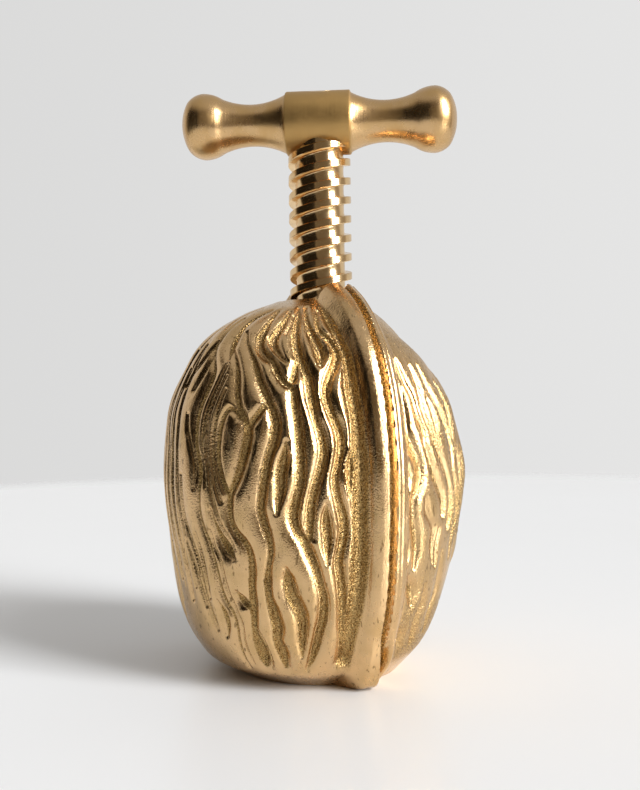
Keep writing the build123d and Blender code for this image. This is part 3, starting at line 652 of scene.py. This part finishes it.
def make_shell():
    """The walnut casting."""
    points, azimuth, z, recess = relief_grid()
    base_centre = np.array([shell_x(0.0), shell_y(0.0), 0.0])
    base_rings = []
    for share in BASE_RING_SHARES:
        ring = points[0] * (share, share, 1)
        ring = ring + base_centre * (1 - share)
        ring[:, 2] = BASE_HOLLOW * (1 - smoothstep(0.7, 0.93, np.array([share])))[0]
        base_rings.append(ring)
    crown_z, crown_radius = CROWN_CAP
    angle = np.radians(azimuth[0])
    crown = np.stack([crown_radius * np.sin(angle), -crown_radius * np.cos(angle), crown_z + 0 * angle], -1)
    rings = np.concatenate([np.array(base_rings), points, crown[None]])
    shell = closed_grid("walnut_shell", rings)
    tools = [(chamber_tool(), "DIFFERENCE"), (window_tool(), "DIFFERENCE"), (bore_tool(), "DIFFERENCE")]
    apply_booleans(shell, tools)
    co = vertex_array(shell.data)
    values = recess_at(co, azimuth, z, recess)
    height = np.clip(co[:, 2], 0, SHELL_SECTIONS[-1][0])
    out_x = (co[:, 0] - shell_x(height)) / shell_half_x(height)
    out_y = (co[:, 1] - shell_y(height)) / shell_half_y(height)
    out = np.hypot(out_x, out_y)
    inside = 1 - smoothstep(0.9, 0.94, out)
    inside = inside * smoothstep(7, 9, co[:, 2]) * (1 - smoothstep(71, 73, co[:, 2]))
    # The material paints shade by the recess and inside maps.
    point_attribute(shell.data, "recess", values * (1 - inside))
    point_attribute(shell.data, "inside", inside)
    smooth_by_angle(shell, 50)
    return shell


# ------------------------------------------------------------------ spindle and handle


def handle_placement():
    """Turns a piece made about Z so that it lies along the handle."""
    turn = Matrix.Rotation(math.radians(HANDLE_TURN), 4, "Z") @ Matrix.Rotation(math.radians(90), 4, "Y")
    return Matrix.Translation((0, 0, HANDLE_Z * MM)) @ turn


def thread_rod():
    """Rod with the two-start square thread, longer than needed at both ends."""
    columns = 120
    chamfer = 0.12
    half_crest = CREST_WIDTH / 2
    rise = THREAD_RADIUS - chamfer
    section = (
        (-THREAD_PITCH / 2, CORE_RADIUS),
        (-half_crest - 0.45, CORE_RADIUS),
        (-half_crest - 0.1, CORE_RADIUS + 0.1),
        (-half_crest, CORE_RADIUS + 0.35),
        (-half_crest, rise),
        (-half_crest + chamfer, THREAD_RADIUS),
        (0.0, THREAD_RADIUS),
        (half_crest - chamfer, THREAD_RADIUS),
        (half_crest, rise),
        (half_crest, CORE_RADIUS + 0.35),
        (half_crest + 0.1, CORE_RADIUS + 0.1),
        (half_crest + 0.45, CORE_RADIUS),
    )
    per_pitch = len(section)
    turns_down = int((CREST_Z - THREAD_BOTTOM_Z) / THREAD_PITCH) + 3
    turns_up = 4
    low_z, high_z = THREAD_BOTTOM_Z - 14, THREAD_TOP_Z + 18
    points, starts = [], []
    for c in range(columns):
        angle = math.radians(CREST_ANGLE) + 2 * math.pi * c / columns
        lift = CREST_Z + THREAD_LEAD * c / columns
        starts.append(len(points))
        points.append((CORE_RADIUS * math.cos(angle), CORE_RADIUS * math.sin(angle), low_z))
        for turn in range(-turns_down, turns_up):
            for offset, radius in section:
                z = lift + turn * THREAD_PITCH + offset
                points.append((radius * math.cos(angle), radius * math.sin(angle), z))
        points.append((CORE_RADIUS * math.cos(angle), CORE_RADIUS * math.sin(angle), high_z))
    count = (turns_down + turns_up) * per_pitch + 2
    faces = []
    for c in range(columns - 1):
        for k in range(count - 1):
            a, b = starts[c] + k, starts[c + 1] + k
            faces.append((a, b, b + 1, a + 1))
    # The last column meets the first one lead higher, so its rows are shifted by two pitches
    last, first, shift = starts[-1], starts[0], 2 * per_pitch
    faces.append([last, first] + [first + k for k in range(1, shift + 2)] + [last + 1])
    for k in range(1, count - 2 - shift):
        faces.append((last + k, first + k + shift, first + k + 1 + shift, last + k + 1))
    tail = [last + k for k in range(count - 2 - shift, count)]
    faces.append(tail[:1] + [first + count - 2, first + count - 1] + tail[:0:-1])
    faces.append([starts[c] for c in range(columns)][::-1])
    faces.append([starts[c] + count - 1 for c in range(columns)])
    return mesh_object("screw_thread", points, faces)


def make_spindle():
    """Spindle: threaded rod cut to length, with its neck above and pivot below."""
    rod = thread_rod()
    reach = THREAD_RADIUS + 1
    keep = turned_piece(
        "keep_tool",
        (
            (CORE_RADIUS - 0.2, THREAD_BOTTOM_Z),
            (THREAD_RADIUS - 0.15, THREAD_BOTTOM_Z + 0.9),
            (reach, THREAD_BOTTOM_Z + 1.6),
            (reach, THREAD_TOP_Z),
        ),
    )
    barrel = turned_piece("barrel_tool", ((BARREL_RADIUS + 0.03, -20), (BARREL_RADIUS + 0.03, 20)))
    barrel.data.transform(handle_placement())
    neck = turned_piece(
        "neck_tool",
        (
            (NECK_RADIUS, THREAD_TOP_Z - 6.0),
            (NECK_RADIUS, NECK_TOP_Z - 0.4),
            (NECK_RADIUS - 0.4, NECK_TOP_Z),
        ),
    )
    pivot = turned_piece(
        "pivot_tool",
        (
            (PIVOT_RADIUS - 0.25, PIVOT_BOTTOM_Z),
            (PIVOT_RADIUS, PIVOT_BOTTOM_Z + 0.25),
            (PIVOT_RADIUS, THREAD_BOTTOM_Z + 1.0),
        ),
    )
    tools = [(keep, "INTERSECT"), (barrel, "DIFFERENCE"), (neck, "UNION"), (pivot, "UNION")]
    apply_booleans(rod, tools)
    rod.name = "screw_thread"
    smooth_by_angle(rod, 28)
    return rod


def handle_profile():
    """Half of the handle's turned outline as (distance from the middle, radius)."""

    def arc(start, peak, end, count):
        (x1, y1), (x2, y2), (x3, y3) = start, peak, end
        d = 2 * (x1 * (y2 - y3) + x2 * (y3 - y1) + x3 * (y1 - y2))
        s1, s2, s3 = x1 * x1 + y1 * y1, x2 * x2 + y2 * y2, x3 * x3 + y3 * y3
        cx = (s1 * (y2 - y3) + s2 * (y3 - y1) + s3 * (y1 - y2)) / d
        cy = (s1 * (x3 - x2) + s2 * (x1 - x3) + s3 * (x2 - x1)) / d
        radius = math.hypot(x1 - cx, y1 - cy)
        a1 = math.atan2(y1 - cy, x1 - cx)
        a3 = math.atan2(y3 - cy, x3 - cx)
        if a3 - a1 > math.pi:
            a3 -= 2 * math.pi
        if a1 - a3 > math.pi:
            a3 += 2 * math.pi
        angles = np.linspace(a1, a3, count)
        return [(cx + radius * math.cos(a), cy + radius * math.sin(a)) for a in angles]

    edge = BARREL_HALF_LENGTH
    barrel = [
        (edge - 0.34, BARREL_RADIUS),
        (edge - 0.12, BARREL_RADIUS - 0.05),
        (edge - 0.02, BARREL_RADIUS - 0.18),
        (edge, BARREL_RADIUS - 0.36),
        (edge + 0.1, 5.98),
    ]
    waist = arc((edge + 0.2, 5.86), (13.6, 4.18), (19.6, 5.42), 26)
    shoulder = arc((20.1, 5.72), (21.7, 6.37), (23.4, 6.62), 12)
    knob = arc((23.6, 6.62), (25.3, 6.12), (26.5, 5.2), 12)
    cap = arc((26.62, 5.06), (27.55, 3.1), (27.97, 0.35), 14)
    return barrel, waist + shoulder + knob + cap


def make_handle():
    """Tee handle, turned about its own length, then bored for the neck and the top screw."""
    barrel, arm = handle_profile()
    half = [(0.0, BARREL_RADIUS), (3.0, BARREL_RADIUS)] + barrel + arm
    outline = [(-s, r) for s, r in reversed(half[1:])] + half
    handle = turned_piece("handle_bar", [(r, s) for s, r in outline], columns=144)
    handle.data.transform(handle_placement())
    bore_radius = NECK_RADIUS + HANDLE_BORE_FIT
    bore_top = NECK_TOP_Z + HANDLE_BORE_FIT
    bore = turned_piece("bore_tool", ((bore_radius, HANDLE_Z - 9), (bore_radius, bore_top)))
    sink = turned_piece(
        "sink_tool",
        (
            (HANDLE_SCREW_RADIUS, HANDLE_Z - 3),
            (HANDLE_SCREW_RADIUS, HANDLE_SCREW_TOP_Z - 1.5),
            (HANDLE_SCREW_HEAD_RADIUS, HANDLE_SCREW_TOP_Z),
            (HANDLE_SCREW_HEAD_RADIUS, HANDLE_SCREW_TOP_Z + 3),
        ),
    )
    apply_booleans(handle, [(bore, "DIFFERENCE"), (sink, "DIFFERENCE")])
    co = vertex_array(handle.data)
    direction = np.array([math.cos(math.radians(HANDLE_TURN)), math.sin(math.radians(HANDLE_TURN)), 0])
    along = np.abs(co @ direction)
    satin = 1 - smoothstep(BARREL_HALF_LENGTH, BARREL_HALF_LENGTH + 0.3, along)
    point_attribute(handle.data, "barrel", satin)
    smooth_by_angle(handle, 30)
    return handle


def make_handle_screw():
    """Slotted screw whose head fills the sink and is filed flush with the round barrel."""
    shank = HANDLE_SCREW_RADIUS - HANDLE_SCREW_GAP
    head = HANDLE_SCREW_HEAD_RADIUS - HANDLE_SCREW_GAP
    crest = HANDLE_Z + BARREL_RADIUS
    screw = turned_piece(
        "handle_screw_head",
        (
            (shank, HANDLE_SCREW_BOTTOM_Z),
            (shank, HANDLE_SCREW_TOP_Z - 1.5),
            (head, HANDLE_SCREW_TOP_Z + HANDLE_SCREW_GAP),
            (head, crest + 1),
        ),
    )
    flush = turned_piece("flush_tool", ((BARREL_RADIUS, -20), (BARREL_RADIUS, 20)), columns=144)
    flush.data.transform(handle_placement())
    stem = turned_piece("stem_tool", ((shank + 0.5, HANDLE_SCREW_BOTTOM_Z - 1), (shank + 0.5, HANDLE_Z)))
    apply_booleans(flush, [(stem, "UNION")])
    slot = []
    for z in (crest - SLOT_DEPTH, crest + 1):
        for x, y in ((-1, -1), (1, -1), (1, 1), (-1, 1)):
            slot.append((x * (head + 1), y * SLOT_HALF_WIDTH, z))
    sides = [(k, (k + 1) % 4, (k + 1) % 4 + 4, k + 4) for k in range(4)]
    cutter = mesh_object("slot_tool", slot, [(3, 2, 1, 0), (4, 5, 6, 7)] + sides, smooth=False)
    cutter.data.transform(Matrix.Rotation(math.radians(HANDLE_TURN), 4, "Z"))
    apply_booleans(screw, [(flush, "INTERSECT"), (cutter, "DIFFERENCE")])
    smooth_by_angle(screw, 30)
    return screw


# ------------------------------------------------------------------ materials


class Nodes:
    """Short calls for building one material's node tree."""

    def __init__(self, name):
        self.material = bpy.data.materials.new(name)
        self.material.use_nodes = True
        self.tree = self.material.node_tree
        self.shader = self.tree.nodes["Principled BSDF"]

    def add(self, kind, **settings):
        node = self.tree.nodes.new(kind)
        for key, value in settings.items():
            if key in node.inputs:
                node.inputs[key].default_value = value
            else:
                setattr(node, key, value)
        return node

    def link(self, source, target):
        self.tree.links.new(source, target)

    def noise(self, scale, detail=4.0, rough=0.5, vector=None):
        node = self.add("ShaderNodeTexNoise", Scale=scale, Detail=detail, Roughness=rough)
        if vector is not None:
            self.link(vector, node.inputs["Vector"])
        return node.outputs["Fac"]

    def ramp(self, value, low, high, start=0.0, end=1.0):
        node = self.add("ShaderNodeMapRange", interpolation_type="SMOOTHSTEP")
        self.link(value, node.inputs["Value"])
        node.inputs["From Min"].default_value = low
        node.inputs["From Max"].default_value = high
        node.inputs["To Min"].default_value = start
        node.inputs["To Max"].default_value = end
        return node.outputs["Result"]

    def math(self, operation, a, b):
        node = self.add("ShaderNodeMath", operation=operation)
        for socket, value in zip(node.inputs, (a, b)):
            if isinstance(value, (int, float)):
                socket.default_value = value
            else:
                self.link(value, socket)
        return node.outputs["Value"]

    def mix(self, factor, a, b):
        node = self.add("ShaderNodeMix", data_type="RGBA")
        self.link(factor, node.inputs["Factor"])
        for socket, value in ((node.inputs["A"], a), (node.inputs["B"], b)):
            if isinstance(value, tuple):
                socket.default_value = value + (1.0,)
            else:
                self.link(value, socket)
        return node.outputs["Result"]

    def position(self):
        return self.add("ShaderNodeTexCoord").outputs["Object"]

    def scaled(self, vector, x, y, z):
        node = self.add("ShaderNodeMapping")
        self.link(vector, node.inputs["Vector"])
        node.inputs["Scale"].default_value = (x, y, z)
        return node.outputs["Vector"]

    def attribute(self, name):
        return self.add("ShaderNodeAttribute", attribute_name=name).outputs["Fac"]

    def bump(self, height, distance, strength=1.0, under=None):
        node = self.add("ShaderNodeBump", Distance=distance, Strength=strength)
        self.link(height, node.inputs["Height"])
        if under is not None:
            self.link(under, node.inputs["Normal"])
        return node.outputs["Normal"]


LAND_BRASS = (0.72, 0.48, 0.245)
LAND_BRASS_WORN = (0.62, 0.41, 0.19)
# Recess colours are painted shade: darker brass laid into the grooves and the chamber's inside, with paler
# specks.
RECESS_SHADE_BRASS = (0.3, 0.175, 0.055)
RECESS_SHADE_BRASS_PALE = (0.62, 0.42, 0.175)
NICK_BRASS = (0.2, 0.12, 0.045)
POLISHED_BRASS = (0.67, 0.44, 0.22)
POLISHED_BRASS_WORN = (0.62, 0.39, 0.16)
BARREL_BRASS = (0.52, 0.325, 0.12)
SPINDLE_BRASS = (0.85, 0.6, 0.32)
FITTING_BRASS = (0.75, 0.52, 0.25)


def cast_brass():
    """Casting: satin lands with fine scratches; pebbly recesses and the rough inside are painted darker as
    shade.
    """
    n = Nodes("cast_brass")
    place = n.position()
    recess = n.attribute("recess")
    inside = n.attribute("inside")
    # Mask of the recesses and the chamber's inside: it sets their roughness and pebbles, and where shade is
    # painted.
    recess_and_shade = n.math("MAXIMUM", n.ramp(recess, 0.25, 0.85), inside)
    blotch = n.noise(160.0, 3.0, 0.55, place)
    land = n.mix(n.ramp(blotch, 0.35, 0.7), LAND_BRASS, LAND_BRASS_WORN)
    pit = n.noise(3800.0, 2.0, 0.6, place)
    # Painted shade: dark brass with paler specks for the recesses.
    recess_shade_tone = n.mix(n.ramp(pit, 0.35, 0.65), RECESS_SHADE_BRASS, RECESS_SHADE_BRASS_PALE)
    nick = n.noise(1500.0, 2.0, 0.5, n.scaled(place, 1.0, 1.0, 0.3))
    nicked = n.math("MULTIPLY", n.ramp(nick, 0.63, 0.7), 0.7)
    metal = n.mix(recess_and_shade, land, recess_shade_tone)
    n.link(n.mix(nicked, metal, NICK_BRASS), n.shader.inputs["Base Color"])
    n.shader.inputs["Metallic"].default_value = 1.0
    streak = n.noise(900.0, 4.0, 0.6, n.scaled(place, 1.0, 1.0, 0.25))
    land_rough = n.ramp(streak, 0.3, 0.7, 0.13, 0.3)
    deep_rough = n.ramp(pit, 0.3, 0.7, 0.2, 0.34)
    rough = n.add("ShaderNodeMix", data_type="FLOAT")
    n.link(recess_and_shade, rough.inputs["Factor"])
    n.link(land_rough, rough.inputs["A"])
    n.link(deep_rough, rough.inputs["B"])
    n.link(rough.outputs["Result"], n.shader.inputs["Roughness"])
    pebble = n.noise(3000.0, 2.0, 0.6, place)
    pebble_height = n.math("MULTIPLY", pebble, n.math("ADD", n.math("MULTIPLY", recess_and_shade, 0.8), 0.2))
    scratch = n.noise(1500.0, 2.0, 0.5, n.scaled(place, 1.0, 1.0, 0.06))
    coarse = n.bump(pebble_height, 0.00028, 1.0)
    n.link(n.bump(scratch, 0.000015, 0.5, coarse), n.shader.inputs["Normal"])
    return n.material


def handle_brass():
    """Polished brass on the arms and knobs, darker satin brass on the barrel."""
    n = Nodes("handle_brass")
    place = n.position()
    barrel = n.attribute("barrel")
    haze = n.noise(240.0, 4.0, 0.6, place)
    tone = n.mix(n.ramp(haze, 0.3, 0.75), POLISHED_BRASS, POLISHED_BRASS_WORN)
    n.link(n.mix(barrel, tone, BARREL_BRASS), n.shader.inputs["Base Color"])
    n.shader.inputs["Metallic"].default_value = 1.0
    arm_rough = n.ramp(haze, 0.3, 0.8, 0.24, 0.36)
    barrel_rough = n.ramp(haze, 0.3, 0.8, 0.42, 0.54)
    rough = n.add("ShaderNodeMix", data_type="FLOAT")
    n.link(barrel, rough.inputs["Factor"])
    n.link(arm_rough, rough.inputs["A"])
    n.link(barrel_rough, rough.inputs["B"])
    n.link(rough.outputs["Result"], n.shader.inputs["Roughness"])
    spin = n.add("ShaderNodeVectorRotate", rotation_type="Z_AXIS")
    n.link(place, spin.inputs["Vector"])
    spin.inputs["Angle"].default_value = math.radians(-HANDLE_TURN)
    lines = n.noise(2600.0, 3.0, 0.65, n.scaled(spin.outputs["Vector"], 1.0, 0.02, 0.02))
    marks = n.noise(420.0, 5.0, 0.7, place)
    fine = n.bump(lines, 0.00004, 0.5)
    n.link(n.bump(marks, 0.00006, 0.22, fine), n.shader.inputs["Normal"])
    return n.material


def machined_brass(name, colour, low, high):
    """Turned brass with rings round Z and a little tarnish."""
    n = Nodes(name)
    place = n.position()
    haze = n.noise(300.0, 4.0, 0.6, place)
    darker = tuple(c * 0.82 for c in colour)
    n.link(n.mix(n.ramp(haze, 0.35, 0.75), colour, darker), n.shader.inputs["Base Color"])
    n.shader.inputs["Metallic"].default_value = 1.0
    n.link(n.ramp(haze, 0.3, 0.8, low, high), n.shader.inputs["Roughness"])
    rings = n.noise(2600.0, 2.0, 0.6, n.scaled(place, 0.05, 0.05, 1.0))
    dents = n.noise(700.0, 4.0, 0.6, place)
    fine = n.bump(rings, 0.00004, 0.4)
    n.link(n.bump(dents, 0.00005, 0.3, fine), n.shader.inputs["Normal"])
    return n.material


def table_top():
    """White table, faintly glossy, whose far edge melts into the studio."""
    n = Nodes("table_top")
    place = n.position()
    gap = n.add("ShaderNodeVectorMath", operation="LENGTH")
    n.link(place, gap.inputs[0])
    n.shader.inputs["Base Color"].default_value = (0.80, 0.803, 0.806, 1.0)
    smear = n.noise(9.0, 3.0, 0.5, place)
    n.link(n.ramp(smear, 0.3, 0.7, 0.28, 0.36), n.shader.inputs["Roughness"])
    n.shader.inputs["Specular IOR Level"].default_value = 0.35
    n.link(n.ramp(gap.outputs["Value"], 0.405, 0.47, 1.0, 0.0), n.shader.inputs["Alpha"])
    return n.material


def set_material(piece, material):
    """Gives a piece one material on every face."""
    piece.data.materials.clear()
    piece.data.materials.append(material)


# ------------------------------------------------------------------ the object

cast_material = cast_brass()
handle_material = handle_brass()
spindle_material = machined_brass("spindle_brass", SPINDLE_BRASS, 0.12, 0.22)
fitting_material = machined_brass("fitting_brass", FITTING_BRASS, 0.28, 0.42)

shell = make_shell()
set_material(shell, cast_material)
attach(shell, "shell")
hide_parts("walnut_body")

spindle = make_spindle()
set_material(spindle, spindle_material)
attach(spindle, "screw")
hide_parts("screw_spindle")

handle = make_handle()
set_material(handle, handle_material)
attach(handle, "screw")
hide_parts("tee_handle")

handle_screw = make_handle_screw()
set_material(handle_screw, fitting_material)
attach(handle_screw, "screw")
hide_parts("handle_screw")

for node in ("threaded_bush", "pressure_pad", "pad_screw"):
    set_material(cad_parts[node], fitting_material)

# ------------------------------------------------------------------ stage, light and camera

CAMERA_AZIMUTH = -24.0
CAMERA_DISTANCE = 0.200
CAMERA_HEIGHT = 0.0555
CAMERA_ROLL = 0.81
# Focal length and picture offsets as shares of the picture's height, measured on the photograph
FOCAL_PER_HEIGHT = 980.0 / 790.0
SHIFT_X_PER_HEIGHT = -2.6 / 790.0
SHIFT_Y_PER_HEIGHT = -5.0 / 790.0
# Dark parts of the room as (start, end, darkness), in degrees from the photographer
DARK_BANDS = ((-100, -14, 0.975), (-20, 46, 0.78), (80, 108, 0.5))
DARK_SOFTNESS = 8
WINDOW_TURN = (48, 69)
WINDOW_UP = (0.12, 0.72)
WINDOW_STRENGTH = 23.5
TABLE_RINGS = (0.1, 0.2, 0.3, 0.4, 0.48)


def make_table():
    """Round table top, one flat disc."""
    sides = 128
    angles = np.linspace(0, 2 * math.pi, sides, endpoint=False)
    rings = [np.stack([r * np.cos(angles), r * np.sin(angles), 0 * angles], -1) for r in TABLE_RINGS]
    points = np.vstack([np.zeros((1, 3))] + rings) / MM
    faces = [(0, 1 + k, 1 + (k + 1) % sides) for k in range(sides)]
    for ring in range(len(TABLE_RINGS) - 1):
        a, b = 1 + ring * sides, 1 + (ring + 1) * sides
        for k in range(sides):
            n = (k + 1) % sides
            faces.append((a + k, b + k, b + n, a + n))
    table = mesh_object("table", points, faces)
    set_material(table, table_top())


def camera_side(azimuth):
    """Unit vector on the ground from the object towards a place round it, 0 at the closed seam."""
    t = math.radians(azimuth)
    return Vector((math.sin(t), -math.cos(t), 0.0))


def make_world():
    """Pale studio: white walls, a bright window to the right, a dark room behind the photographer."""
    world = bpy.data.worlds.new("studio")
    world.use_nodes = True
    tree = world.node_tree
    tree.nodes.clear()

    def add(kind, **settings):
        node = tree.nodes.new(kind)
        for key, value in settings.items():
            setattr(node, key, value)
        return node

    def calc(operation, a, b):
        node = add("ShaderNodeMath", operation=operation)
        for socket, value in zip(node.inputs, (a, b)):
            if isinstance(value, (int, float)):
                socket.default_value = value
            else:
                tree.links.new(value, socket)
        return node.outputs["Value"]

    def ramp(value, low, high, start=0.0, end=1.0):
        node = add("ShaderNodeMapRange", interpolation_type="SMOOTHSTEP")
        tree.links.new(value, node.inputs["Value"])
        for key, number in (("From Min", low), ("From Max", high), ("To Min", start), ("To Max", end)):
            node.inputs[key].default_value = number
        return node.outputs["Result"]

    where = add("ShaderNodeTexCoord").outputs["Generated"]
    split = add("ShaderNodeSeparateXYZ")
    tree.links.new(where, split.inputs["Vector"])
    up = split.outputs["Z"]

    def aimed(azimuth):
        side = camera_side(azimuth)
        aim = add("ShaderNodeVectorMath", operation="DOT_PRODUCT")
        tree.links.new(where, aim.inputs[0])
        aim.inputs[1].default_value = (side.x, side.y, 0.0)
        return aim.outputs["Value"]

    # Angle round the object in degrees, 0 towards the photographer and growing to the right
    turned = calc("ARCTAN2", aimed(CAMERA_AZIMUTH + 90), aimed(CAMERA_AZIMUTH))
    turned = calc("MULTIPLY", turned, 180 / math.pi)

    def band(value, start, end, soft):
        rise = ramp(value, start - soft, start + soft)
        fall = ramp(value, end - soft, end + soft, 1.0, 0.0)
        return calc("MULTIPLY", rise, fall)

    walls = ramp(up, 0.3, 0.85, 0.7, 0.52)
    dark = 0.0
    for start, end, darkness in DARK_BANDS:
        patch = calc("MULTIPLY", band(turned, start, end, DARK_SOFTNESS), darkness)
        dark = calc("MAXIMUM", dark, patch)
    dark = calc("MULTIPLY", dark, ramp(up, 0.62, 0.88, 1.0, 0.0))
    window = calc("MULTIPLY", band(turned, *WINDOW_TURN, 3), band(up, *WINDOW_UP, 0.04))
    window = calc("MULTIPLY", window, WINDOW_STRENGTH)
    light = calc("MULTIPLY", walls, calc("SUBTRACT", 1.0, dark))
    tint = add("ShaderNodeMix", data_type="RGBA")
    tree.links.new(dark, tint.inputs["Factor"])
    wall_colour, room_colour = (socket for socket in tint.inputs if socket.type == "RGBA")
    wall_colour.default_value = (1.0, 0.99, 0.975, 1.0)
    room_colour.default_value = (1.0, 0.78, 0.52, 1.0)
    tinted = add("ShaderNodeBackground")
    tint_result = next(socket for socket in tint.outputs if socket.type == "RGBA")
    tree.links.new(tint_result, tinted.inputs["Color"])
    tree.links.new(light, tinted.inputs["Strength"])
    panes = add("ShaderNodeBackground")
    panes.inputs["Color"].default_value = (0.985, 1.0, 1.02, 1.0)
    tree.links.new(window, panes.inputs["Strength"])
    studio = add("ShaderNodeAddShader")
    tree.links.new(tinted.outputs["Background"], studio.inputs[0])
    tree.links.new(panes.outputs["Background"], studio.inputs[1])
    # Backdrop seen only by the camera: flat emission with painted light, a little brighter towards the right.
    painted_backdrop = add("ShaderNodeBackground")
    painted_backdrop.inputs["Color"].default_value = (1.0, 0.998, 0.992, 1.0)
    tree.links.new(ramp(aimed(CAMERA_AZIMUTH + 90), -0.5, 0.5, 0.70, 0.79), painted_backdrop.inputs["Strength"])
    shown = add("ShaderNodeMixShader")
    ray = add("ShaderNodeLightPath")
    tree.links.new(ray.outputs["Is Camera Ray"], shown.inputs["Fac"])
    tree.links.new(studio.outputs["Shader"], shown.inputs[1])
    tree.links.new(painted_backdrop.outputs["Background"], shown.inputs[2])
    out = add("ShaderNodeOutputWorld")
    tree.links.new(shown.outputs["Shader"], out.inputs["Surface"])
    bpy.context.scene.world = world


def make_camera():
    """Camera at the photograph's place: level, a little rolled, looking across the screw's axis."""
    data = bpy.data.cameras.new("camera")
    data.sensor_width = 36.0
    data.lens = 36.0 * FOCAL_PER_HEIGHT
    data.clip_start = 0.01
    data.shift_x = SHIFT_X_PER_HEIGHT
    data.shift_y = SHIFT_Y_PER_HEIGHT
    camera = bpy.data.objects.new("camera", data)
    bpy.context.scene.collection.objects.link(camera)
    back = camera_side(CAMERA_AZIMUTH)
    right = Vector((0, 0, 1)).cross(back)
    roll = math.radians(CAMERA_ROLL)
    up = Vector((0, 0, 1)) * math.cos(roll) + right * math.sin(roll)
    side = right * math.cos(roll) - Vector((0, 0, 1)) * math.sin(roll)
    place = back * CAMERA_DISTANCE + Vector((0, 0, CAMERA_HEIGHT))
    camera.matrix_world = Matrix(
        (
            (side.x, up.x, back.x, place.x),
            (side.y, up.y, back.y, place.y),
            (side.z, up.z, back.z, place.z),
            (0, 0, 0, 1),
        )
    )
    bpy.context.scene.camera = camera


make_table()
make_world()
make_camera()
bpy.context.scene.view_settings.view_transform = "Standard"
